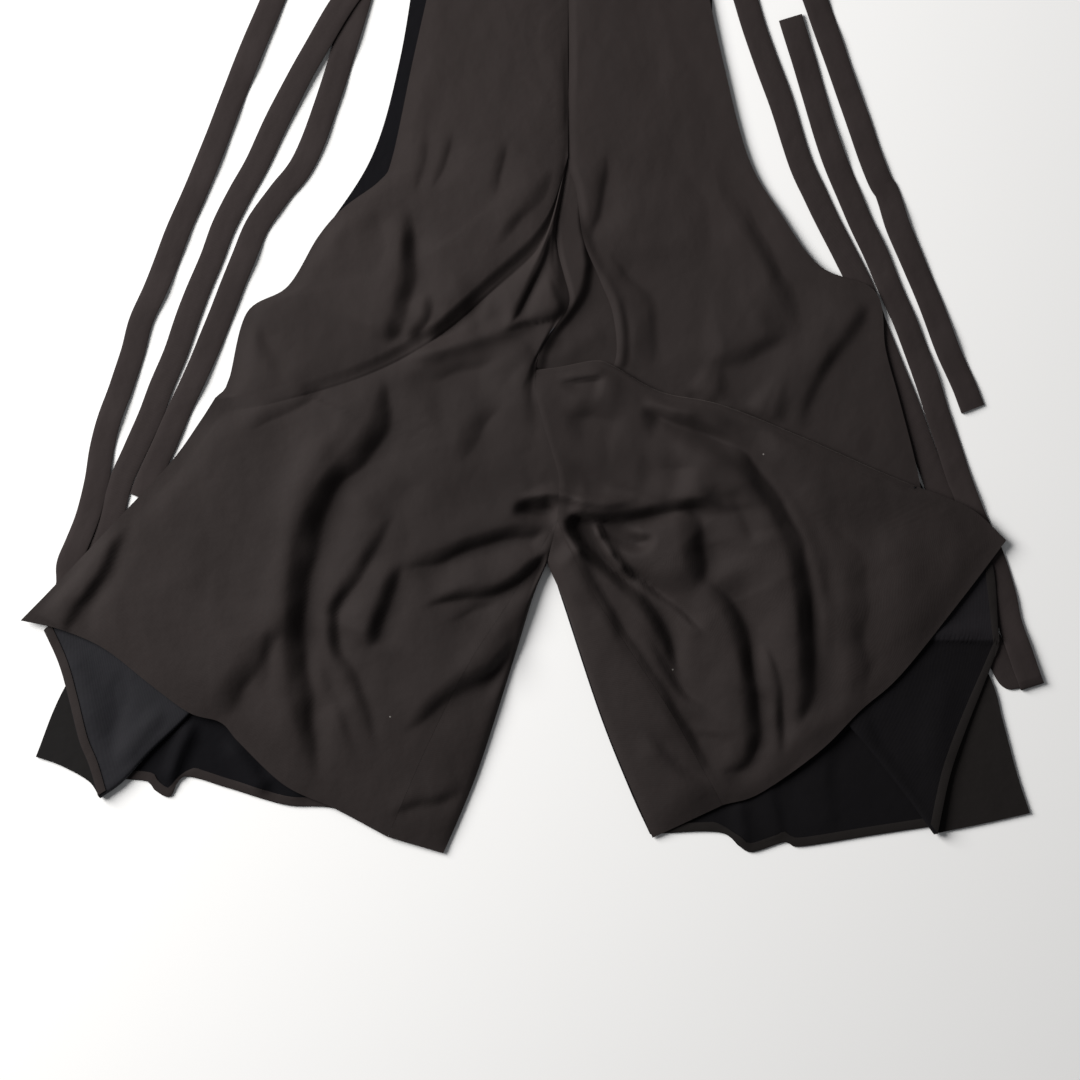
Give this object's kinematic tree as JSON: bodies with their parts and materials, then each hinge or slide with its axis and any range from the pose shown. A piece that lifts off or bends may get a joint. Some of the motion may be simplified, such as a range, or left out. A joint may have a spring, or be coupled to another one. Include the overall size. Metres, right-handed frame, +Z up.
{
  "type": "hakama trousers",
  "caption": "Very wide dark cloth trousers with open side slits and long waist ties, laid flat on their back with the legs spread.",
  "frame": {"origin": "middle of the footprint, on the surface that the garment lies on", "axes": "+X across the spread hems to the viewer's right, +Y towards the waist, +Z up from the surface"},
  "size_m": [1.1274, 1.0468, 0.0258],
  "materials": {
    "outer_cloth": "matt, fine twill with a soft sheen",
    "inner_cloth": "matt, the cloth's cooler inner face",
    "tie_cloth": "matt, flat sewn strip"
  },
  "bodies": {
    "root": {"back_panel_left": "inner_cloth", "back_panel_right": "inner_cloth", "side_panel_left": "outer_cloth", "side_panel_right": "outer_cloth", "front_panel_left": "outer_cloth", "front_panel_right": "outer_cloth", "centre_pleat": "outer_cloth", "gusset_left": "outer_cloth", "gusset_right": "outer_cloth", "waistband_front": "tie_cloth", "waistband_back": "tie_cloth", "front_tie_left": "tie_cloth", "front_tie_right": "tie_cloth", "back_tie_left": "tie_cloth", "back_tie_right": "tie_cloth"}
  },
  "joints": []
}
